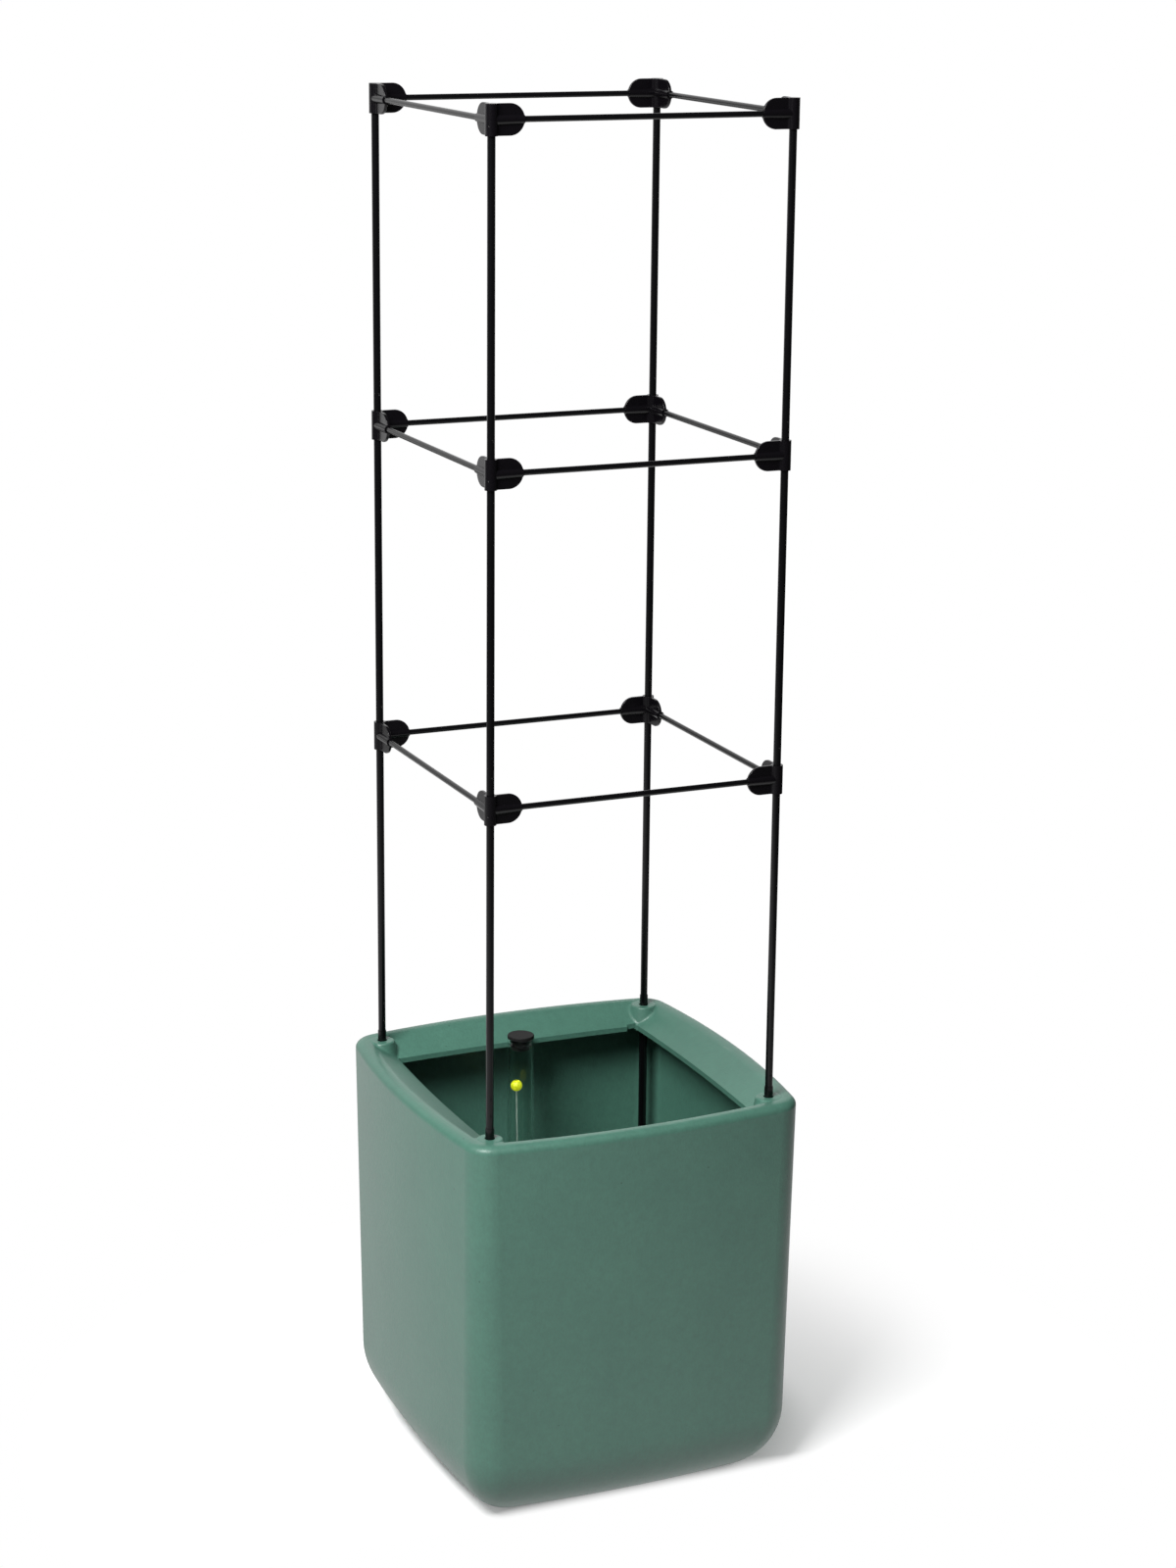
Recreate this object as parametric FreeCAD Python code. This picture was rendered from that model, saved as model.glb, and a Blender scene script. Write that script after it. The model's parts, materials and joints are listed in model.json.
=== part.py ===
import FreeCAD
import Part
import math
import os

# Self-watering planter with a four-post trellis, in millimetres and degrees.
# +Z is up, the origin is on the floor under the middle of the planter, and the front face looks along -Y.

# Planter body: a bulged square that tapers down to a rounded base
planter_height = 438.0
rim_half_width = 201.5
wall_taper = 10.3
rim_bulge = 15.6
base_bulge = 7.7
rim_corner_r = 30.4
base_corner_r = 37.0
floor_corner_r = 8.0
base_edge_run = 65.0
base_edge_rise = 78.6
wall = 5.0

# Rim: a rounded lip, a collar that slopes in and down to the cut opening, and bosses for the posts.
# The trim cut leaves one short step in the opening's back edge, at the right.
lip_r = 8.2
lip_flat = 3.0
lip_inner_r = 15.0
collar_drop = 19.5
opening_inset = 9.7
opening_bulge = 4.2
opening_corner_r = 3.0
trim_step_length = 11.0
trim_step_depth = 3.0
boss_wall = 8.0
boss_flare = 5.8
boss_top_round = 2.5
boss_foot_round = 4.0
post_hole_clearance = 0.85

# Trellis posts: equal tube lengths joined by ferrules
tier_count = 3
post_inset = 41.5
section_length = 339.0
joint_above_rim = 11.5
post_od = 8.0
post_wall = 0.75
foot_step = 1.3
ferrule_length = 70.0
ferrule_insert = 25.0
ferrule_clearance = 0.05
crimp_first = 14.0
crimp_spacing = 19.0
crimp_r = 2.0
crimp_depth = 0.6

# Corner joints and cross rods
rod_od = 6.0
rod_clearance = 0.1
rod_from_sleeve = 6.75
sleeve_wall = 2.15
sleeve_height = 30.5
post_clearance = 0.1
wing_tip = 34.0
wing_thickness = 3.2
wing_root_r = 2.5
wing_edge_r = 0.7
socket_wall = 1.3
socket_draft = 1.0
socket_setback = 0.6
socket_floor = 0.6
dimple_r = 1.3
dimple_depth = 0.6
dimple_below_rod = 5.6

# Water gauge: clear tube, push-in cap, float with a stem and a ball, foot and grommet
gauge_x = -5.0
tube_to_opening = 4.3
tube_od = 30.0
tube_wall = 2.5
cap_below_rim = 5.0
cap_thickness = 3.5
cap_edge_r = 1.0
plug_length = 13.0
rib_depth = 2.5
plug_clearance = 0.05
rib_count = 2
rib_height = 2.0
rib_pitch = 5.0
foot_wall = 2.0
foot_grip = 14.0
foot_slot_width = 4.0
foot_clearance = 0.05
foot_above_floor = 1.0
float_clearance = 2.0
float_height = 45.0
float_edge_r = 3.0
float_seat = 0.3
stem_r = 0.9
stem_insert = 22.5
stem_clearance = 0.05
ball_r = 6.5
ball_clearance = 1.0
ball_below_cap = 60.0
grommet_lip = 5.0
grommet_lip_height = 4.0
grommet_wall = 4.0
grommet_clearance = 0.05

# Reservoir: a two-piece soil platform on legs, with wicking cups and sockets for the posts
platform_top = 109.2
platform_thickness = 4.0
platform_gap = 1.5
platform_split = 1.0
post_seat = 0.3
vent_r = 3.0
vent_pitch = 36.0
vent_margin = 12.0
vent_gap = 3.0
leg_r = 11.0
leg_bore_r = 8.0
leg_spigot_r = 6.0
leg_clearance = 0.1
leg_margin = 9.5
leg_inner_y = 18.0
cup_mouth_r = 34.0
cup_foot_r = 24.0
cup_wall = 2.5
cup_lip = 5.0
cup_lip_height = 2.0
cup_clearance = 0.3
cup_above_floor = 1.0
cup_slot_count = 8
cup_slot_width = 5.0
cup_slot_height = 34.0
cup_slot_start = 8.0
post_socket_wall = 2.4
post_socket_height = 18.0
post_socket_floor = 1.0
post_socket_clearance = 0.3
post_socket_spigot_r = 4.0
post_socket_spigot_clearance = 0.05

# Overflow bung in the back wall
overflow_below_platform = 19.2
overflow_hole_r = 8.0
bung_clearance = 0.05
bung_flange_lip = 4.5
bung_flange_thickness = 3.0
bung_seat_clearance = 1.0
bung_seat_depth = 1.0
bung_tail = 6.0
bung_tail_taper = 0.95
bung_knob_r = 5.0
bung_knob_length = 4.0

# How finely the rounded base, lip and collar are lofted, and what counts as touching
round_steps = 6
collar_steps = 4
touch = 1e-3

# Worked out from the sizes above
UP = FreeCAD.Vector(0, 0, 1)
base_half_width = rim_half_width - wall_taper
half_pitch = rim_half_width - post_inset
opening_half_width = half_pitch - opening_inset
post_bore = post_od - 2 * post_wall
foot_od = post_od + foot_step
post_hole_r = foot_od / 2 + post_hole_clearance
boss_top_r = post_hole_r + boss_wall
boss_foot_r = boss_top_r + boss_flare
first_joint = planter_height + joint_above_rim
levels = [first_joint + section_length * (n + 1) for n in range(tier_count)]
sleeve_r = post_od / 2 + post_clearance + sleeve_wall
wing_half = sleeve_height / 2
rod_start = sleeve_r + rod_from_sleeve
rod_bore_r = rod_od / 2 + rod_clearance
socket_tip_r = rod_bore_r + socket_wall
socket_root_r = socket_tip_r + socket_draft
gauge_y = opening_half_width - tube_to_opening - tube_od / 2
tube_bore = tube_od - 2 * tube_wall
cap_top = planter_height - cap_below_rim
tube_top = cap_top - cap_thickness
plug_core_r = tube_bore / 2 - rib_depth
ball_z = cap_top - ball_below_cap
grommet_bore_r = tube_od / 2 + grommet_clearance
grommet_neck_r = grommet_bore_r + grommet_wall
grommet_lip_r = grommet_neck_r + grommet_lip
platform_bottom = platform_top - platform_thickness
foot_bottom = platform_top + post_socket_floor + post_seat
post_socket_bore_r = foot_od / 2 + post_socket_clearance
post_socket_r = post_socket_bore_r + post_socket_wall
leg_x = base_half_width - base_edge_run - base_bulge - leg_r - leg_margin
cup_y = (gauge_y - grommet_lip_r) / 2
overflow_z = platform_bottom - overflow_below_platform
bung_r = overflow_hole_r - bung_clearance
bung_flange_r = overflow_hole_r + bung_flange_lip
corners = {"front_left": 0, "front_right": 1, "back_right": 2, "back_left": 3}
sides = {"front": "front_left", "right": "front_right", "back": "back_right", "left": "back_left"}


def save(name, shape):
    """Write one sub-part to its own STEP file."""
    shape.exportStep("parts/%s.step" % name)


def at(x, y, z):
    return FreeCAD.Vector(x, y, z)


def turned(point, quarter):
    """A point turned about the Z axis by quarter turns."""
    a = quarter * math.pi / 2
    c = math.cos(a)
    s = math.sin(a)
    return at(c * point.x - s * point.y, s * point.x + c * point.y, point.z)


def placed(shape, quarter, offset):
    """A copy of a shape turned by quarter turns about Z, then moved."""
    copy = shape.copy()
    copy.rotate(at(0, 0, 0), UP, 90 * quarter)
    copy.translate(offset)
    return copy


def corner_point(corner, z):
    """Post axis of a named corner at height z."""
    return turned(at(-half_pitch, -half_pitch, z), corners[corner])


def bulged_square(half, bulge, corner, z):
    """Closed outline: four wide face arcs joined by four tangent corner arcs."""
    chord = half - bulge
    face_r = (chord * chord + bulge * bulge) / (2 * bulge)
    face_y = face_r - half
    reach = face_r - corner
    d = (math.sqrt(2 * reach * reach - face_y * face_y) - face_y) / 2
    a = math.atan2(d, d + face_y)
    left = at(-face_r * math.sin(a), face_y - face_r * math.cos(a), z)
    right = at(face_r * math.sin(a), face_y - face_r * math.cos(a), z)
    middle = at(0, -half, z)
    bend = at(d + corner * math.sqrt(0.5), -d - corner * math.sqrt(0.5), z)
    edges = []
    for q in range(4):
        edges.append(Part.Arc(turned(left, q), turned(middle, q), turned(right, q)).toShape())
        edges.append(Part.Arc(turned(right, q), turned(bend, q), turned(left, q + 1)).toShape())
    return Part.Wire(edges)


def base_inset(z, skin):
    """How far the rounded base edge draws the outline in at height z, inside a skin."""
    rise = base_edge_rise - skin
    run = base_edge_run - skin
    drop = max(0.0, 1 - (z - skin) / rise)
    return run * (1 - math.sqrt(1 - drop * drop))


def body_outline(z, skin=0.0, extra=0.0):
    """Outline of the body at height z, inside a skin, drawn in by extra."""
    k = 1 - z / planter_height
    inset = base_inset(z, skin)
    share = inset / (base_edge_run - skin)
    half = rim_half_width + (base_half_width - rim_half_width) * k - skin - inset - extra
    bulge = rim_bulge + (base_bulge - rim_bulge) * k
    corner = rim_corner_r + (base_corner_r - rim_corner_r) * k - skin - extra
    end_corner = max(floor_corner_r - skin, floor_corner_r / 2)
    return bulged_square(half, bulge, corner + (end_corner - corner) * share, z)


def loft(wires, ruled=False):
    return Part.makeLoft(wires, True, ruled)


def body(skin, top, lip):
    """Solid body inside a skin: rounded base, tapered wall and, with lip, a rounded top edge."""
    steps = round_steps
    rise = base_edge_rise - skin
    base_levels = [skin + rise * (1 - math.cos(math.pi / 2 * n / steps)) for n in range(steps + 1)]
    solid = loft([body_outline(z, skin) for z in base_levels])
    solid = solid.fuse(loft([body_outline(base_edge_rise, skin), body_outline(top - lip, skin)], True))
    if lip:
        turns = [math.pi / 2 * n / steps for n in range(steps + 1)]
        rings = [body_outline(top - lip + lip * math.sin(t), skin, lip * (1 - math.cos(t))) for t in turns]
        solid = solid.fuse(loft(rings))
    return solid


def collar_angle():
    """Slope of the collar: the line from the lip's inner round to the opening's edge."""
    run = rim_half_width - lip_r - lip_flat - opening_half_width
    rise = lip_inner_r - collar_drop
    return math.asin(lip_inner_r / math.hypot(run, rise)) - math.atan2(rise, run)


def collar_outline(run, z):
    """Outline on the collar, run millimetres inward from the lip."""
    start = rim_half_width - lip_r - lip_flat
    share = run / (start - opening_half_width)
    start_corner = rim_corner_r - lip_r - lip_flat
    half = start - run
    bulge = rim_bulge + (opening_bulge - rim_bulge) * share
    corner = start_corner + (opening_corner_r - start_corner) * share
    return bulged_square(half, bulge, corner, z)


def funnel(lowered):
    """Space above the collar, lowered by some depth: upright, then rounded, then sloping."""
    top = planter_height - lowered
    slope = collar_angle()
    rounds = []
    for n in range(collar_steps + 1):
        turn = slope * n / collar_steps
        sink = lip_inner_r * (1 - math.cos(turn))
        rounds.append(collar_outline(lip_inner_r * math.sin(turn), top - sink))
    full_run = rim_half_width - lip_r - lip_flat - opening_half_width
    space = loft([collar_outline(0, top + collar_drop), rounds[0]], True)
    space = space.fuse(loft(rounds))
    return space.fuse(loft([rounds[-1], collar_outline(full_run, top - collar_drop)], True))


def boss(top, top_r, foot, foot_r, corner):
    """Tapered post boss at a corner of the rim."""
    base = corner_point(corner, foot)
    return Part.makeCone(foot_r, top_r, top - foot, base)


def rounded_boss(foot, corner):
    """Boss outside the shell, level with the lip, with its top edge rounded."""
    cone = boss(planter_height, boss_top_r, foot, boss_foot_r, corner)
    top_edge = [e for e in cone.Edges if e.BoundBox.ZMin > planter_height - touch]
    return cone.makeFillet(boss_top_round, top_edge)


def blended(shell, corner):
    """The shell with the foot of a corner's boss blended into the collar."""
    post = corner_point(corner, 0)
    cones = [f for f in shell.Faces if isinstance(f.Surface, Part.Cone)]
    side = min(cones, key=lambda f: f.Surface.Center.distanceToLine(post, UP))
    seam = [e for e in side.Edges if isinstance(e.Curve, Part.BSplineCurve)]
    return shell.makeFillet(boss_foot_round, seam)


def opening_cuts(bottom):
    """The mouth, cut straight down to bottom, and the step in its back edge."""
    full_run = rim_half_width - lip_r - lip_flat - opening_half_width
    mouth = loft([collar_outline(full_run, bottom), collar_outline(full_run, planter_height)], True)
    edge = opening_half_width - opening_bulge
    start = at(edge - opening_corner_r / 2 - trim_step_length, edge, bottom)
    return [mouth, Part.makeBox(trim_step_length, trim_step_depth, planter_height - bottom, start)]


def planter_shell():
    collar_depth = wall / math.cos(collar_angle())
    boss_foot = planter_height - collar_drop - wall
    taper = (boss_foot_r - boss_top_r) / (planter_height - boss_foot)
    skin = wall * math.sqrt(1 + taper * taper)
    shell = body(0.0, planter_height, lip_r).cut(funnel(0.0))
    cavity = body(wall, planter_height - wall, 0.0).cut(funnel(collar_depth))
    for corner in corners:
        shell = shell.fuse(rounded_boss(boss_foot, corner))
        cavity = cavity.cut(boss(planter_height, boss_top_r, boss_foot, boss_foot_r, corner))
    for corner in corners:
        shell = blended(shell, corner)
        roof_r = boss_top_r + taper * wall - skin
        cavity = cavity.fuse(boss(planter_height - wall, roof_r, boss_foot, boss_foot_r - skin, corner))
    shell = shell.cut(cavity)
    cuts = opening_cuts(planter_height - collar_drop - collar_depth - wall)
    for corner in corners:
        cuts.append(Part.makeCylinder(post_hole_r, collar_drop + wall, corner_point(corner, boss_foot)))
    out = at(0, 1, 0)
    seat = at(0, bung_face(), overflow_z)
    cuts.append(Part.makeCylinder(overflow_hole_r, 2 * wall, seat - out * 2 * wall, out))
    cuts.append(Part.makeCylinder(bung_flange_r + bung_seat_clearance, 2 * wall, seat, out))
    return shell.cut(cuts).removeSplitter()


def bung_face():
    """Y of the flat seat that the overflow bung's flange lies on."""
    k = 1 - overflow_z / planter_height
    half = rim_half_width + (base_half_width - rim_half_width) * k - base_inset(overflow_z, 0.0)
    return half - bung_seat_depth


def overflow_bung():
    out = at(0, 1, 0)
    seat = at(0, bung_face(), overflow_z)
    inside = seat - out * wall
    tail = Part.makeCone(bung_r - bung_tail_taper, bung_r, bung_tail, inside - out * bung_tail, out)
    shank = Part.makeCylinder(bung_r, wall, inside, out)
    flange = Part.makeCylinder(bung_flange_r, bung_flange_thickness, seat, out)
    knob = Part.makeCylinder(bung_knob_r, bung_knob_length, seat + out * bung_flange_thickness, out)
    return shank.fuse([tail, flange, knob]).removeSplitter()


def tube(outer_r, inner_r, length, base):
    return Part.makeCylinder(outer_r, length, base).cut(Part.makeCylinder(inner_r, length, base))


def crimped(shape, radius, x, y, z):
    """A pair of crimp dimples on the front of a tube, above its lower end."""
    ball_out = radius + crimp_r - crimp_depth
    for height in (crimp_first, crimp_first + crimp_spacing):
        shape = shape.cut(Part.makeSphere(crimp_r, at(x, y - ball_out, z + height)))
    return shape


def post_section(corner, number):
    """Foot section (number 0) inside the planter, or one of the sections above it."""
    if number == 0:
        return tube(foot_od / 2, post_bore / 2, first_joint - foot_bottom, corner_point(corner, foot_bottom))
    base = corner_point(corner, first_joint + section_length * (number - 1))
    section = tube(post_od / 2, post_bore / 2, section_length, base)
    return crimped(section, post_od / 2, base.x, base.y, base.z)


def ferrules():
    """Spigots that join the post sections, one at each joint."""
    radius = post_bore / 2 - ferrule_clearance
    solids = []
    for corner in corners:
        for z in [first_joint] + levels[:-1]:
            base = corner_point(corner, z - ferrule_insert)
            solids.append(Part.makeCylinder(radius, ferrule_length, base))
    return Part.makeCompound(solids)


def top_plugs():
    """Plugs that close the top joints and sit in the upper post ends."""
    solids = []
    for corner in corners:
        end = corner_point(corner, levels[-1])
        head = Part.makeCylinder(post_od / 2, wing_half, end)
        spigot_r = post_bore / 2 - ferrule_clearance
        spigot = Part.makeCylinder(spigot_r, ferrule_insert, end - UP * ferrule_insert)
        solids.append(head.fuse(spigot).removeSplitter())
    return Part.makeCompound(solids)


def wing():
    """One wing of a corner joint along +X: a plate with a half-round end and a filleted root."""
    half = wing_thickness / 2
    root_y = half + wing_root_r
    root_x = math.sqrt((sleeve_r + wing_root_r) ** 2 - root_y ** 2)
    share = sleeve_r / (sleeve_r + wing_root_r)
    lean = math.atan2(root_y, root_x)
    turn = (lean + math.pi / 2) / 2
    bend_x = root_x - wing_root_r * math.cos(turn)
    bend_y = root_y - wing_root_r * math.sin(turn)
    low = -wing_half
    outline = []
    for side in (1, -1):
        on_sleeve = at(root_x * share, side * root_y * share, low)
        on_plate = at(root_x, side * half, low)
        outline.append(Part.Arc(on_sleeve, at(bend_x, side * bend_y, low), on_plate).toShape())
        outline.append(Part.makeLine(on_plate, at(wing_tip, side * half, low)))
        outline.append(Part.makeLine(on_sleeve, at(0, side * root_y * share, low)))
    outline.append(Part.makeLine(at(wing_tip, half, low), at(wing_tip, -half, low)))
    outline.append(Part.makeLine(at(0, root_y * share, low), at(0, -root_y * share, low)))
    plate = Part.Face(Part.Wire(Part.__sortEdges__(outline))).extrude(at(0, 0, sleeve_height))
    centre = wing_tip - wing_half
    side = -sleeve_r
    root_high = at(0, side, wing_half)
    root_low = at(0, side, -wing_half)
    high = at(centre, side, wing_half)
    low = at(centre, side, -wing_half)
    top = Part.makeLine(root_high, high)
    round_end = Part.Arc(high, at(wing_tip, side, 0), low).toShape()
    bottom = Part.makeLine(low, root_low)
    back = Part.makeLine(root_low, root_high)
    profile = Part.Face(Part.Wire([top, round_end, bottom, back])).extrude(at(0, 2 * sleeve_r, 0))
    solid = plate.common(profile)
    rim = []
    for edge in solid.Edges:
        box = edge.BoundBox
        on_plate = box.YLength < touch and abs(abs(box.YMin) - half) < touch
        at_root = box.XMax < root_x + touch
        if on_plate and not at_root:
            rim.append(edge)
    return solid.makeFillet(wing_edge_r, rim)


def corner_joint():
    """Corner joint at the origin: sleeve on the post, two wings and two rod sockets."""
    low = at(0, 0, -wing_half)
    reach = wing_tip - socket_setback
    socket = Part.makeCone(socket_root_r, socket_tip_r, reach, at(0, 0, 0), at(1, 0, 0))
    arm = wing().fuse(socket)
    joint = Part.makeCylinder(sleeve_r, sleeve_height, low)
    joint = joint.fuse([arm, placed(arm, 1, at(0, 0, 0))])
    start = rod_start - socket_floor
    cuts = [Part.makeCylinder(post_od / 2 + post_clearance, sleeve_height, low)]
    cuts.append(Part.makeCylinder(rod_bore_r, wing_tip, at(start, 0, 0), at(1, 0, 0)))
    cuts.append(Part.makeCylinder(rod_bore_r, wing_tip, at(0, start, 0), at(0, 1, 0)))
    out = (sleeve_r + dimple_r - dimple_depth) * math.sqrt(0.5)
    cuts.append(Part.makeSphere(dimple_r, at(-out, -out, -dimple_below_rod)))
    return joint.cut(cuts).removeSplitter()


def cross_rod(side, z):
    """Rod between two corner joints; the side starts at its named corner."""
    start = corner_point(sides[side], z)
    along = turned(at(1, 0, 0), corners[sides[side]])
    return Part.makeCylinder(rod_od / 2, 2 * (half_pitch - rod_start), start + along * rod_start, along)


def floor_height(reach):
    """Height of the inside floor where a piece reaches this far from the middle."""
    run = base_edge_run - wall
    rise = base_edge_rise - wall
    flat = base_half_width - wall - run
    drawn = min(1.0, max(0.0, (reach - flat) / run))
    return wall + rise * (1 - math.sqrt(1 - drawn * drawn))


def gauge_foot_bottom():
    reach = gauge_y + tube_od / 2 + foot_clearance + foot_wall
    return floor_height(reach) + foot_above_floor


def gauge_tube():
    bottom = gauge_foot_bottom() + foot_wall
    return tube(tube_od / 2, tube_bore / 2, tube_top - bottom, at(gauge_x, gauge_y, bottom))


def gauge_foot():
    """Perforated cap under the tube that lets water in and carries the float."""
    outer_r = tube_od / 2 + foot_clearance + foot_wall
    base = at(gauge_x, gauge_y, gauge_foot_bottom())
    foot = Part.makeCylinder(outer_r, foot_grip + foot_wall, base)
    foot = foot.cut(Part.makeCylinder(tube_od / 2 + foot_clearance, foot_grip, base + at(0, 0, foot_wall)))
    slot = Part.makeBox(tube_bore, foot_slot_width, foot_wall)
    slot.translate(base - at(tube_bore / 2, foot_slot_width / 2, 0))
    cross = Part.makeBox(foot_slot_width, tube_bore, foot_wall)
    cross.translate(base - at(foot_slot_width / 2, tube_bore / 2, 0))
    return foot.cut([slot, cross]).removeSplitter()


def gauge_cap():
    """Push-in cap: a disc on the tube's end and a ribbed plug in its bore."""
    disc = Part.makeCylinder(tube_od / 2, cap_thickness, at(gauge_x, gauge_y, tube_top))
    top_edges = [e for e in disc.Edges if abs(e.BoundBox.ZMin - cap_top) < touch]
    disc = disc.makeFillet(cap_edge_r, top_edges)
    plug = Part.makeCylinder(plug_core_r, plug_length, at(gauge_x, gauge_y, tube_top - plug_length))
    rib_r = tube_bore / 2 - plug_clearance
    ribs = []
    for n in range(rib_count):
        half = rib_height / 2
        middle = at(gauge_x, gauge_y, tube_top - rib_pitch * (n + 0.5) - half)
        ribs.append(Part.makeCone(plug_core_r, rib_r, half, middle - UP * half))
        ribs.append(Part.makeCone(rib_r, plug_core_r, half, middle))
    return disc.fuse([plug] + ribs).removeSplitter()


def float_lean():
    """The float leans until its ball is almost at the tube's wall."""
    height = ball_z - gauge_foot_bottom() - foot_wall
    return math.degrees(math.asin((tube_bore / 2 - ball_r - ball_clearance) / height))


def float_bottom():
    lift = tube_bore / 2 * math.sin(math.radians(float_lean()))
    return gauge_foot_bottom() + foot_wall + float_seat + lift


def leaned(shape):
    """A copy of a shape leaned with the float, about the float's foot."""
    copy = shape.copy()
    copy.rotate(at(gauge_x, gauge_y, float_bottom()), at(0, 1, 0), -float_lean())
    return copy


def gauge_float():
    radius = tube_bore / 2 - float_clearance
    base = at(gauge_x, gauge_y, float_bottom())
    drum = Part.makeCylinder(radius, float_height, base)
    rims = [e for e in drum.Edges if e.Curve.TypeId == "Part::GeomCircle"]
    drum = drum.makeFillet(float_edge_r, rims)
    socket = base + UP * (float_height - stem_insert)
    hole = Part.makeCylinder(stem_r + stem_clearance, stem_insert, socket)
    return leaned(drum.cut(hole))


def gauge_stem():
    foot = float_bottom() + float_height - stem_insert
    return leaned(Part.makeCylinder(stem_r, ball_z - foot, at(gauge_x, gauge_y, foot)))


def gauge_ball():
    centre = at(gauge_x, gauge_y, ball_z)
    hole = Part.makeCylinder(stem_r + stem_clearance, ball_r, centre - at(0, 0, ball_r))
    return leaned(Part.makeSphere(ball_r, centre).cut(hole))


def gauge_grommet():
    """Grommet that holds the tube in the soil platform."""
    base = at(gauge_x, gauge_y, platform_bottom)
    lip = Part.makeCylinder(grommet_lip_r, grommet_lip_height, base + UP * platform_thickness)
    neck = Part.makeCylinder(grommet_neck_r, platform_thickness, base)
    bore = Part.makeCylinder(grommet_bore_r, platform_thickness + grommet_lip_height, base)
    return lip.fuse(neck).cut(bore).removeSplitter()


def leg_spots():
    rows = (-leg_x, -leg_inner_y, leg_inner_y, leg_x)
    return [at(x, y, 0) for x in (-leg_x, leg_x) for y in rows]


def soil_platform(side):
    """One half of the soil platform: side is -1 for the front half and +1 for the back half."""
    outline = body_outline(platform_bottom, wall, platform_gap)
    plate = Part.Face(outline).extrude(at(0, 0, platform_thickness))
    span = 2 * rim_half_width
    half_space = Part.makeBox(span, span, span)
    near = platform_split / 2 if side > 0 else -platform_split / 2 - span
    half_space.translate(at(-span / 2, near, 0))
    plate = plate.common(half_space)
    cuts = []

    def hole(radius, x, y):
        cuts.append(Part.makeCylinder(radius, platform_thickness, at(x, y, platform_bottom)))

    keep_clear = [(gauge_x, gauge_y, grommet_lip_r)]
    keep_clear.append((0, side * cup_y, cup_mouth_r + cup_lip))
    keep_clear += [(spot.x, spot.y, leg_r) for spot in leg_spots()]
    for corner in corners:
        post = corner_point(corner, 0)
        keep_clear.append((post.x, post.y, post_socket_r))
    hole(grommet_neck_r + grommet_clearance, gauge_x, gauge_y)
    hole(cup_mouth_r + cup_clearance, 0, side * cup_y)
    for spot in leg_spots():
        hole(leg_spigot_r + leg_clearance, spot.x, spot.y)
    for corner in corners:
        post = corner_point(corner, 0)
        hole(post_socket_spigot_r + post_socket_spigot_clearance, post.x, post.y)
    count = int(base_half_width / vent_pitch)
    edge = base_half_width - wall - platform_gap - base_bulge - vent_margin
    for row in range(-count, count + 1):
        for column in range(-count, count + 1):
            x = column * vent_pitch
            y = (row + 0.5) * vent_pitch
            reach = vent_r + vent_gap
            clear = all(math.hypot(x - cx, y - cy) > r + reach for cx, cy, r in keep_clear)
            if clear and max(abs(x), abs(y)) < edge:
                hole(vent_r, x, y)
    return plate.cut(cuts)


def platform_legs():
    """Hollow legs that carry the platform, each with a spigot in the plate."""
    solids = []
    for spot in leg_spots():
        length = platform_bottom - wall
        leg = Part.makeCylinder(leg_r, length, spot + at(0, 0, wall))
        roof = platform_thickness
        leg = leg.cut(Part.makeCylinder(leg_bore_r, length - roof, spot + at(0, 0, wall)))
        spigot = Part.makeCylinder(leg_spigot_r, platform_thickness, spot + at(0, 0, platform_bottom))
        solids.append(leg.fuse(spigot).removeSplitter())
    return Part.makeCompound(solids)


def wicking_cup(side):
    """Slotted basket that hangs through the platform and dips soil into the water."""
    centre = at(0, side * cup_y, 0)
    bottom = wall + cup_above_floor
    height = platform_top - bottom
    foot = centre + at(0, 0, bottom)
    cup = Part.makeCone(cup_foot_r, cup_mouth_r, height, foot)
    lip = Part.makeCylinder(cup_mouth_r + cup_lip, cup_lip_height, centre + at(0, 0, platform_top))
    mouth_r = cup_mouth_r - cup_wall
    inner = Part.makeCone(cup_foot_r - cup_wall, mouth_r, height - cup_wall, foot + at(0, 0, cup_wall))
    mouth = Part.makeCylinder(mouth_r, cup_lip_height, centre + at(0, 0, platform_top))
    cuts = [inner, mouth]
    for n in range(cup_slot_count // 2):
        slot = Part.makeBox(2 * cup_mouth_r, cup_slot_width, cup_slot_height)
        slot.translate(at(-cup_mouth_r, -cup_slot_width / 2, 0))
        slot.rotate(at(0, 0, 0), UP, 360 / cup_slot_count * n)
        slot.translate(centre + at(0, 0, bottom + cup_slot_start))
        cuts.append(slot)
    return cup.fuse(lip).cut(cuts).removeSplitter()


def post_sockets():
    """Cups on the platform's corners that the foot sections stand in."""
    solids = []
    for corner in corners:
        base = corner_point(corner, platform_top)
        cup = tube(post_socket_r, post_socket_bore_r, post_socket_height, base)
        floor = Part.makeCylinder(post_socket_r, post_socket_floor, base)
        spigot_base = corner_point(corner, platform_bottom)
        spigot = Part.makeCylinder(post_socket_spigot_r, platform_thickness, spigot_base)
        solids.append(cup.fuse([floor, spigot]).removeSplitter())
    return Part.makeCompound(solids)


os.makedirs("parts", exist_ok=True)

save("planter_shell", planter_shell())
save("overflow_bung", overflow_bung())

for corner in corners:
    save("post_foot_" + corner, post_section(corner, 0))
    for number in range(1, tier_count + 1):
        save("post_%s_%d" % (corner, number), post_section(corner, number))
save("post_ferrules", ferrules())
save("post_top_plugs", top_plugs())

joint = corner_joint()
for number, level in enumerate(levels, 1):
    for corner in corners:
        fitted = placed(joint, corners[corner], corner_point(corner, level))
        save("corner_joint_%s_%d" % (corner, number), fitted)
    for side in sides:
        save("cross_rod_%s_%d" % (side, number), cross_rod(side, level))

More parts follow.
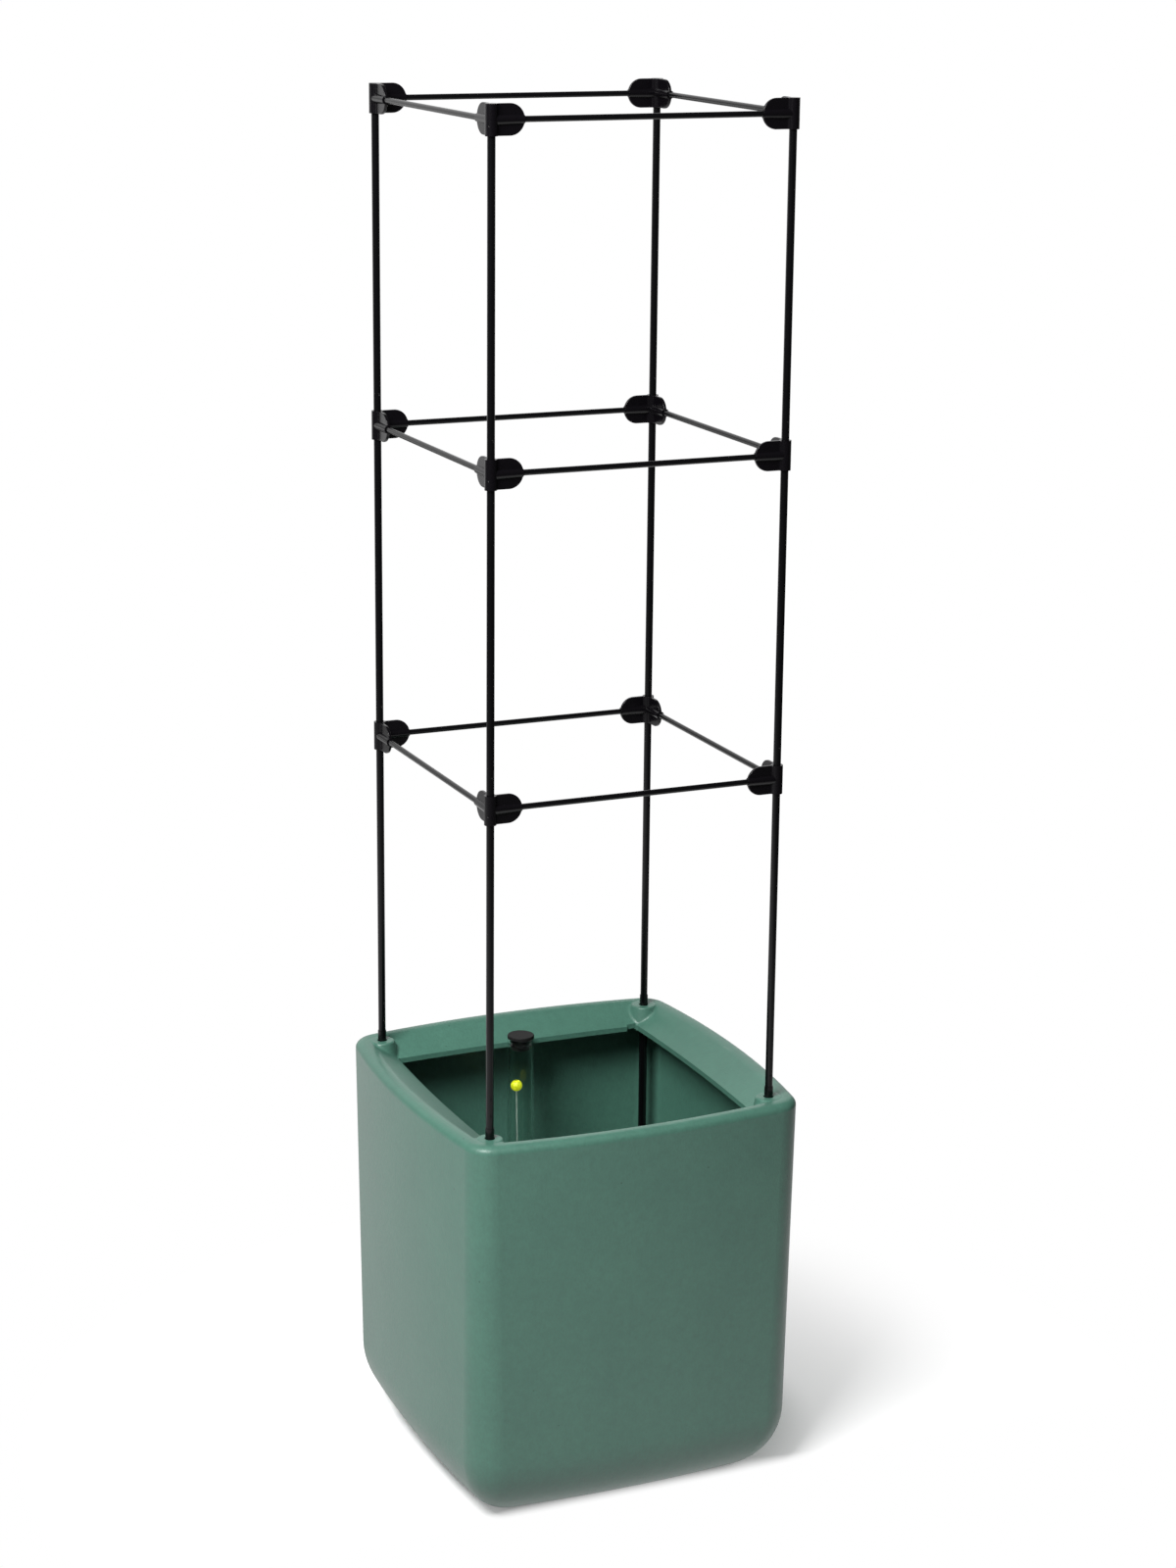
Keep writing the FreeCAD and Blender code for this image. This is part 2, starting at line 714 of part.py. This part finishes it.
save("gauge_tube", gauge_tube())
save("gauge_foot", gauge_foot())
save("gauge_cap", gauge_cap())
save("gauge_float", gauge_float())
save("gauge_stem", gauge_stem())
save("gauge_ball", gauge_ball())
save("gauge_grommet", gauge_grommet())

save("soil_platform_front", soil_platform(-1))
save("soil_platform_back", soil_platform(1))
save("platform_legs", platform_legs())
save("wicking_cup_front", wicking_cup(-1))
save("wicking_cup_back", wicking_cup(1))
save("post_sockets", post_sockets())
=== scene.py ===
import json
import math

import bmesh
import bpy
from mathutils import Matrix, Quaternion, Vector

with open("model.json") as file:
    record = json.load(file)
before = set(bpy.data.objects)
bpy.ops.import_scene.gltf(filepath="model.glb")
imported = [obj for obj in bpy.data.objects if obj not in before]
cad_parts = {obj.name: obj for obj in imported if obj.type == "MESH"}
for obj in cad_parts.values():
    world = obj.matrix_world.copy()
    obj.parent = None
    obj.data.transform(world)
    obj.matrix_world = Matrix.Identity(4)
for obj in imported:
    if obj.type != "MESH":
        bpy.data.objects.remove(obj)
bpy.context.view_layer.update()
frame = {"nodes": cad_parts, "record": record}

# Self-watering planter with a four-post trellis, in metres, in the same frame as the model.
# Every piece keeps the mesh of its node. This script gives each its finish, then lights and frames them.

MM = 0.001

# Camera: worked out from the straight lines of the photo, taken as 1200 x 1600 pixels.
# The lens is in millimetres, for a sensor of 36 mm along the long side of the picture.
CAMERA_EYE = Vector((-1.3483, -3.1009, 1.6920))
CAMERA_AIM = Vector((0.0141, -0.0062, 0.7584))
CAMERA_ROLL = math.radians(0.56)
CAMERA_LENS = 75.75

# Lights: a soft key high on the left, a low soft light for the far sides, and a weak even fill.
# The key is two lamps in one place. Only the first, with KEY_SHEEN of the power, shows in shiny surfaces.
KEY_PLACE = Vector((-1.47, -1.10, 2.50))
KEY_AIM = Vector((0.0, 0.0, 0.4))
KEY_SIZE = 1.2
KEY_POWER = 174.0
KEY_SHEEN = 0.5
FAR_PLACE = Vector((1.75, 2.05, 0.80))
FAR_AIM = Vector((0.0, 0.0, 0.3))
FAR_SIZE = 1.5
FAR_POWER = 70.0
FILL = 0.17

# Floor: it keeps the shadow within SHADE_REACH of a point under the planter. From there it turns white,
# quickly up to SHADE_EDGE and slowly up to WHITE_REACH. Along the front it is white from FRONT_WHITE on.
FLOOR_REACH = 30.0
SHADE_HEART = Vector((0.04, 0.03, 0.0))
SHADE_REACH = 0.19
SHADE_EDGE = 0.27
NEAR_WHITE = 0.4
WHITE_REACH = 0.64
FRONT_SHADE = -0.126
FRONT_WHITE = -0.160

# The floor's own colour to the eye and in the light that it gives back, and how far reflections lie between
PAPER_SEEN = "#F5F5F5"
PAPER_BOUNCE = "#A0A0A0"
PAPER_GLOSS = 0.4

# What shiny surfaces see: a pool of light and a sweep painted on the floor, a lit backdrop behind them, and
# a dim room round them
DIM_ROOM = 0.05
POOL = Vector((-0.8, 0.45, 0.0))
POOL_REACH = 1.2
POOL_EDGE = 3.2
SWEEP_FOOT = 3.0
SWEEP_TOP = 4.5
BACKDROP = Vector((0.15, 0.97, 0.18)).normalized()
BACKDROP_EDGE = math.cos(math.radians(40.5))
BACKDROP_REACH = math.cos(math.radians(26.0))

# Most values of a noise pattern lie between these two
NOISE_LOW = 0.3
NOISE_HIGH = 0.7

# Numbers of the colour sockets on a Mix node, whose names aren't unique
COLOUR_A = 6
COLOUR_B = 7
COLOUR_OUT = 2


def linear(code):
    """Linear RGBA of an sRGB hex colour."""
    parts = [int(code[n:n + 2], 16) / 255 for n in (1, 3, 5)]
    return [c / 12.92 if c <= 0.04045 else ((c + 0.055) / 1.055) ** 2.4 for c in parts] + [1.0]


def add(tree, kind, links=(), **settings):
    """One shader node; links pairs an input's name or number with a socket or a value."""
    node = tree.nodes.new(kind)
    for name, value in settings.items():
        setattr(node, name, value)
    for key, value in dict(links).items():
        if isinstance(value, bpy.types.NodeSocket):
            tree.links.new(value, node.inputs[key])
        else:
            node.inputs[key].default_value = value
    return node


def empty_tree(owner):
    """The node tree of a material or a world, with nothing in it."""
    owner.use_nodes = True
    owner.node_tree.nodes.clear()
    return owner.node_tree


def new_material(name):
    """A new material, its tree, its Principled shader and the object coordinates."""
    material = bpy.data.materials.new(name)
    tree = empty_tree(material)
    shader = add(tree, "ShaderNodeBsdfPrincipled")
    add(tree, "ShaderNodeOutputMaterial", {"Surface": shader.outputs["BSDF"]})
    place = add(tree, "ShaderNodeTexCoord").outputs["Object"]
    return material, tree, shader, place


def rotomoulded_polyethylene():
    """Sage-green polyethylene from a blasted mould: satin, pebbled and mottled, with a few burnt flecks."""
    pebble = 2.3 * MM
    pebble_depth = 0.22 * MM
    streak = 2.5 * MM
    cloud = 9.0 * MM
    drift = 70.0 * MM
    fleck_spacing = 36.0 * MM
    fleck_core = 0.6 * MM
    fleck_edge = 1.2 * MM
    fleck_tone = 0.45
    # Pebbles are half as tall again as they are wide, and streaks run 25 times as far down as across
    pebble_scale = (1.0, 1.0, 0.65)
    streak_scale = (1.0, 1.0, 0.04)
    # The mottle is the sum of pebbles, streaks and clouds, and shades the colour by about a tenth
    streak_share = 0.12
    cloud_share = 0.6
    mottle_low, mottle_high = 0.58, 1.14
    mottle_dark, mottle_light = 0.89, 1.11

    material, tree, shader, place = new_material("rotomoulded_polyethylene")
    upright = add(tree, "ShaderNodeMapping", {"Vector": place, "Scale": pebble_scale}).outputs[0]
    grain = add(tree, "ShaderNodeTexNoise",
                {"Vector": upright, "Scale": 1 / pebble, "Detail": 2.0}).outputs["Fac"]
    drawn = add(tree, "ShaderNodeMapping", {"Vector": place, "Scale": streak_scale}).outputs[0]
    flow = add(tree, "ShaderNodeTexNoise", {"Vector": drawn, "Scale": 1 / streak}).outputs["Fac"]
    blotch = add(tree, "ShaderNodeTexNoise",
                 {"Vector": place, "Scale": 1 / cloud, "Detail": 3.0}).outputs["Fac"]
    fine = add(tree, "ShaderNodeMath", {0: flow, 1: streak_share, 2: grain}, operation="MULTIPLY_ADD")
    whole = add(tree, "ShaderNodeMath", {0: blotch, 1: cloud_share, 2: fine.outputs[0]},
                operation="MULTIPLY_ADD")
    mottle = add(tree, "ShaderNodeMapRange",
                 {"Value": whole.outputs[0], "From Min": mottle_low, "From Max": mottle_high,
                  "To Min": mottle_dark, "To Max": mottle_light})
    spots = add(tree, "ShaderNodeTexVoronoi", {"Vector": place, "Scale": 1 / fleck_spacing})
    burnt = add(tree, "ShaderNodeMapRange",
                {"Value": spots.outputs["Distance"], "From Min": fleck_core / fleck_spacing,
                 "From Max": fleck_edge / fleck_spacing, "To Min": fleck_tone})
    marks = add(tree, "ShaderNodeMath", {0: mottle.outputs[0], 1: burnt.outputs[0]}, operation="MULTIPLY")
    shade = add(tree, "ShaderNodeTexNoise",
                {"Vector": place, "Scale": 1 / drift, "Detail": 2.0}).outputs["Fac"]
    tone = add(tree, "ShaderNodeMix",
               {"Factor": shade, COLOUR_A: linear("#365B4F"), COLOUR_B: linear("#3C6355")}, data_type="RGBA")
    colour = add(tree, "ShaderNodeMix",
                 {"Factor": 1.0, COLOUR_A: tone.outputs[COLOUR_OUT], COLOUR_B: marks.outputs[0]},
                 data_type="RGBA", blend_type="MULTIPLY")
    rough = add(tree, "ShaderNodeMapRange",
                {"Value": grain, "From Min": NOISE_LOW, "From Max": NOISE_HIGH,
                 "To Min": 0.50, "To Max": 0.60})
    bump = add(tree, "ShaderNodeBump", {"Strength": 1.0, "Distance": pebble_depth, "Height": grain})
    tree.links.new(colour.outputs[COLOUR_OUT], shader.inputs["Base Color"])
    tree.links.new(rough.outputs[0], shader.inputs["Roughness"])
    tree.links.new(bump.outputs[0], shader.inputs["Normal"])
    tree.links.new(bump.outputs[0], shader.inputs["Coat Normal"])
    shader.inputs["IOR"].default_value = 1.54
    shader.inputs["Coat Weight"].default_value = 0.4
    shader.inputs["Coat Roughness"].default_value = 0.27
    shader.inputs["Coat IOR"].default_value = 1.5
    return material


def dark_moulding(name, colour, shine, dull, grit, depth):
    """A dark surface with a fine grit of the given size and depth; its roughness runs from shine to dull."""
    material, tree, shader, place = new_material(name)
    grain = add(tree, "ShaderNodeTexNoise",
                {"Vector": place, "Scale": 1 / grit, "Detail": 3.0}).outputs["Fac"]
    rough = add(tree, "ShaderNodeMapRange",
                {"Value": grain, "From Min": NOISE_LOW, "From Max": NOISE_HIGH,
                 "To Min": shine, "To Max": dull})
    tone = add(tree, "ShaderNodeMapRange",
               {"Value": grain, "From Min": NOISE_LOW, "From Max": NOISE_HIGH,
                "To Min": 0.8, "To Max": 1.25})
    shade = add(tree, "ShaderNodeMix",
                {"Factor": 1.0, COLOUR_A: linear(colour), COLOUR_B: tone.outputs[0]},
                data_type="RGBA", blend_type="MULTIPLY")
    bump = add(tree, "ShaderNodeBump", {"Strength": 0.3, "Distance": depth, "Height": grain})
    tree.links.new(shade.outputs[COLOUR_OUT], shader.inputs["Base Color"])
    tree.links.new(rough.outputs[0], shader.inputs["Roughness"])
    tree.links.new(bump.outputs[0], shader.inputs["Normal"])
    shader.inputs["IOR"].default_value = 1.38
    return material


def pale_moulding(name, light, dark, grit, dull):
    """A pale matt surface with a fine grain: its two tones, the size of the grain and its roughness."""
    grain_depth = 0.1 * MM
    material, tree, shader, place = new_material(name)
    grain = add(tree, "ShaderNodeTexNoise",
                {"Vector": place, "Scale": 1 / grit, "Detail": 3.0}).outputs["Fac"]
    tone = add(tree, "ShaderNodeMix",
               {"Factor": grain, COLOUR_A: linear(dark), COLOUR_B: linear(light)}, data_type="RGBA")
    bump = add(tree, "ShaderNodeBump", {"Strength": 0.3, "Distance": grain_depth, "Height": grain})
    tree.links.new(tone.outputs[COLOUR_OUT], shader.inputs["Base Color"])
    tree.links.new(bump.outputs[0], shader.inputs["Normal"])
    shader.inputs["Roughness"].default_value = dull
    return material


def extruded_acrylic():
    """Clear acrylic tube: almost invisible head on, bright along its edges, with faint draw lines."""
    line = 0.8 * MM
    # Draw lines run 50 times as far along the tube as across it
    line_scale = (1.0, 1.0, 0.02)
    material, tree, shader, place = new_material("extruded_acrylic")
    drawn = add(tree, "ShaderNodeMapping", {"Vector": place, "Scale": line_scale}).outputs[0]
    draw = add(tree, "ShaderNodeTexNoise", {"Vector": drawn, "Scale": 1 / line}).outputs["Fac"]
    rough = add(tree, "ShaderNodeMapRange",
                {"Value": draw, "From Min": NOISE_LOW, "From Max": NOISE_HIGH,
                 "To Min": 0.01, "To Max": 0.05})
    tree.links.new(rough.outputs[0], shader.inputs["Roughness"])
    shader.inputs["Base Color"].default_value = linear("#F7FBF9")
    shader.inputs["Transmission Weight"].default_value = 1.0
    shader.inputs["IOR"].default_value = 1.12
    shader.inputs["Coat Weight"].default_value = 1.0
    shader.inputs["Coat IOR"].default_value = 1.4
    return material


def fluorescent_plastic():
    """Fluorescent yellow moulding, with a painted glow that lightens it in the shade inside the planter."""
    grit = 0.7 * MM
    material, tree, shader, place = new_material("fluorescent_plastic")
    grain = add(tree, "ShaderNodeTexNoise", {"Vector": place, "Scale": 1 / grit}).outputs["Fac"]
    tone = add(tree, "ShaderNodeMix",
               {"Factor": grain, COLOUR_A: linear("#D2DA14"), COLOUR_B: linear("#DEE42A")}, data_type="RGBA")
    tree.links.new(tone.outputs[COLOUR_OUT], shader.inputs["Base Color"])
    shader.inputs["Roughness"].default_value = 0.45
    # Painted glow: a faint yellow light of its own, which keeps the ball bright in the shade
    shader.inputs["Emission Color"].default_value = linear("#D6DE14")
    shader.inputs["Emission Strength"].default_value = 0.30
    return material


def zinc_plated_steel():
    """Zinc-plated steel spigot: a dull bluish metal with a fine spangle."""
    spangle = 1.2 * MM
    material, tree, shader, place = new_material("zinc_plated_steel")
    cells = add(tree, "ShaderNodeTexVoronoi", {"Vector": place, "Scale": 1 / spangle})
    rough = add(tree, "ShaderNodeMapRange",
                {"Value": cells.outputs["Distance"], "To Min": 0.28, "To Max": 0.42})
    tree.links.new(rough.outputs[0], shader.inputs["Roughness"])
    shader.inputs["Base Color"].default_value = linear("#C3C6C9")
    shader.inputs["Metallic"].default_value = 1.0
    return material


finishes = {
    "moulded_polyethylene": rotomoulded_polyethylene(),
    # Polymer coat on drawn tube: smooth and near black, with one sharp streak of light down each post
    "coated_steel": dark_moulding("black_coated_steel", "#050506", shine=0.18, dull=0.24,
                                  grit=0.5 * MM, depth=0.004 * MM),
    # Nylon from a polished mould: near black, with a less even shine than the tube
    "black_plastic": dark_moulding("moulded_black_nylon", "#060507", shine=0.18, dull=0.28,
                                   grit=0.6 * MM, depth=0.01 * MM),
    # Moulded rubber: black turned grey by a broad soft shine
    "black_rubber": dark_moulding("moulded_black_rubber", "#0E0E0E", shine=0.60, dull=0.72,
                                  grit=0.8 * MM, depth=0.04 * MM),
    # Polypropylene from a textured mould: mid grey and matt
    "grey_polypropylene": dark_moulding("grey_polypropylene", "#5E6363", shine=0.46, dull=0.60,
                                        grit=1.0 * MM, depth=0.05 * MM),
    "clear_acrylic": extruded_acrylic(),
    "yellow_plastic": fluorescent_plastic(),
    # Undyed nylon rod: milky, with a faint green cast
    "pale_nylon": pale_moulding("natural_nylon", "#AFC0B5", "#9DB0A5", grit=0.6 * MM, dull=0.45),
    # Closed-cell foam: chalky white with a coarse matt grain
    "float_foam": pale_moulding("closed_cell_foam", "#EDEBE2", "#DCD9CE", grit=1.5 * MM, dull=0.75),
    "plated_steel": zinc_plated_steel(),
}

for part in frame["record"]["subparts"]:
    frame["nodes"][part["node"]].material_slots[0].material = finishes[part["material_slot"]]


def ray_kinds(tree):
    """Two sockets: one is 1 to the camera, also through clear plastic, and one is 1 to shiny surfaces."""
    rays = add(tree, "ShaderNodeLightPath").outputs
    direct = add(tree, "ShaderNodeMath", {0: rays["Is Camera Ray"], 1: rays["Is Transmission Ray"]},
                 operation="MAXIMUM")
    return direct.outputs[0], rays["Is Glossy Ray"]


def white_floor():
    """Matt white paper that keeps the soft shadow of the object and turns plain white further off."""
    material = bpy.data.materials.new("white_floor")
    tree = empty_tree(material)
    direct, mirrored = ray_kinds(tree)
    place = add(tree, "ShaderNodeTexCoord").outputs["Object"]
    along = add(tree, "ShaderNodeSeparateXYZ", {"Vector": place}).outputs["Y"]

    # The share of plain white: none in the shadow, all of it further off and in front
    reach = add(tree, "ShaderNodeVectorMath", {0: place, 1: SHADE_HEART},
                operation="DISTANCE").outputs["Value"]
    near = add(tree, "ShaderNodeMapRange",
               {"Value": reach, "From Min": SHADE_REACH, "From Max": SHADE_EDGE, "To Max": NEAR_WHITE},
               interpolation_type="SMOOTHSTEP")
    rest = add(tree, "ShaderNodeMapRange",
               {"Value": reach, "From Min": SHADE_EDGE, "From Max": WHITE_REACH, "To Max": 1 - NEAR_WHITE})
    far = add(tree, "ShaderNodeMath", {0: near.outputs[0], 1: rest.outputs[0]}, operation="ADD")
    front = add(tree, "ShaderNodeMapRange",
                {"Value": along, "From Min": FRONT_SHADE, "From Max": FRONT_WHITE},
                interpolation_type="SMOOTHSTEP")
    clear = add(tree, "ShaderNodeMath", {0: far.outputs[0], 1: front.outputs[0]}, operation="MAXIMUM")
    seen = add(tree, "ShaderNodeMath", {0: direct, 1: mirrored}, operation="MAXIMUM")
    share = add(tree, "ShaderNodeMath", {0: seen.outputs[0], 1: clear.outputs[0]}, operation="MULTIPLY")

    # How bright that white is: full to the eye, and in reflections a painted pool of light and a painted
    # sweep on the floor
    apart = add(tree, "ShaderNodeVectorMath", {0: place, 1: POOL}, operation="DISTANCE").outputs["Value"]
    painted_pool = add(tree, "ShaderNodeMapRange",
               {"Value": apart, "From Min": POOL_REACH, "From Max": POOL_EDGE,
                "To Min": 1.0, "To Max": DIM_ROOM}, interpolation_type="SMOOTHSTEP")
    painted_sweep = add(tree, "ShaderNodeMapRange",
                {"Value": along, "From Min": SWEEP_FOOT, "From Max": SWEEP_TOP},
                interpolation_type="SMOOTHSTEP")
    painted_glow = add(tree, "ShaderNodeMath", {0: painted_pool.outputs[0], 1: painted_sweep.outputs[0]}, operation="MAXIMUM")
    level = add(tree, "ShaderNodeMath", {0: direct, 1: painted_glow.outputs[0]}, operation="MAXIMUM")
    white = add(tree, "ShaderNodeEmission", {"Strength": level.outputs[0]})

    # The paper under it, which takes the shadow and gives little light back to the object
    bright = add(tree, "ShaderNodeMath", {0: mirrored, 1: PAPER_GLOSS, 2: direct}, operation="MULTIPLY_ADD")
    paper = add(tree, "ShaderNodeMix",
                {"Factor": bright.outputs[0], COLOUR_A: linear(PAPER_BOUNCE), COLOUR_B: linear(PAPER_SEEN)},
                data_type="RGBA")
    matt = add(tree, "ShaderNodeBsdfDiffuse", {"Color": paper.outputs[COLOUR_OUT]})
    mix = add(tree, "ShaderNodeMixShader", {0: share.outputs[0], 1: matt.outputs[0], 2: white.outputs[0]})
    add(tree, "ShaderNodeOutputMaterial", {"Surface": mix.outputs[0]})
    return material


def studio_floor():
    """A wide flat floor at the foot of the planter."""
    mesh = bpy.data.meshes.new("studio_floor")
    bm = bmesh.new()
    bmesh.ops.create_grid(bm, x_segments=1, y_segments=1, size=FLOOR_REACH)
    bm.to_mesh(mesh)
    bm.free()
    mesh.materials.append(white_floor())
    floor = bpy.data.objects.new("studio_floor", mesh)
    bpy.context.scene.collection.objects.link(floor)


def studio_world():
    """White to the eye, a lit backdrop in a dim room to shiny surfaces, and an even fill to matt ones."""
    world = bpy.data.worlds.new("studio")
    tree = empty_tree(world)
    direct, mirrored = ray_kinds(tree)
    outward = add(tree, "ShaderNodeTexCoord").outputs["Generated"]
    toward = add(tree, "ShaderNodeVectorMath", {0: outward, 1: BACKDROP}, operation="DOT_PRODUCT")
    room = add(tree, "ShaderNodeMapRange",
               {"Value": toward.outputs["Value"], "From Min": BACKDROP_EDGE, "From Max": BACKDROP_REACH,
                "To Min": DIM_ROOM}, interpolation_type="SMOOTHSTEP")
    around = add(tree, "ShaderNodeMix", {"Factor": mirrored, "A": FILL, "B": room.outputs[0]})
    level = add(tree, "ShaderNodeMath", {0: direct, 1: around.outputs[0]}, operation="MAXIMUM")
    surround = add(tree, "ShaderNodeBackground", {"Color": linear("#FFFFFF"), "Strength": level.outputs[0]})
    add(tree, "ShaderNodeOutputWorld", {"Surface": surround.outputs[0]})
    bpy.context.scene.world = world


def soft_light(name, place, aim, size, power, in_gloss):
    """A square soft lamp aimed at the planter; in_gloss says whether shiny surfaces show it."""
    lamp = bpy.data.lights.new(name, "AREA")
    lamp.size = size
    lamp.energy = power
    light = bpy.data.objects.new(name, lamp)
    light.location = place
    light.rotation_euler = (aim - place).to_track_quat("-Z", "Y").to_euler()
    light.visible_glossy = in_gloss
    bpy.context.scene.collection.objects.link(light)


def photo_camera():
    """The camera at the viewing angle of the photo."""
    lens = bpy.data.cameras.new("photo_camera")
    lens.lens = CAMERA_LENS
    camera = bpy.data.objects.new("photo_camera", lens)
    look = (CAMERA_AIM - CAMERA_EYE).to_track_quat("-Z", "Y")
    camera.location = CAMERA_EYE
    camera.rotation_euler = (look @ Quaternion((0, 0, 1), CAMERA_ROLL)).to_euler()
    bpy.context.scene.collection.objects.link(camera)
    bpy.context.scene.camera = camera


studio_floor()
studio_world()
soft_light("key_sheen", KEY_PLACE, KEY_AIM, KEY_SIZE, KEY_POWER * KEY_SHEEN, in_gloss=True)
soft_light("key_light", KEY_PLACE, KEY_AIM, KEY_SIZE, KEY_POWER * (1 - KEY_SHEEN), in_gloss=False)
soft_light("far_light", FAR_PLACE, FAR_AIM, FAR_SIZE, FAR_POWER, in_gloss=False)
photo_camera()
bpy.context.scene.view_settings.view_transform = "Standard"
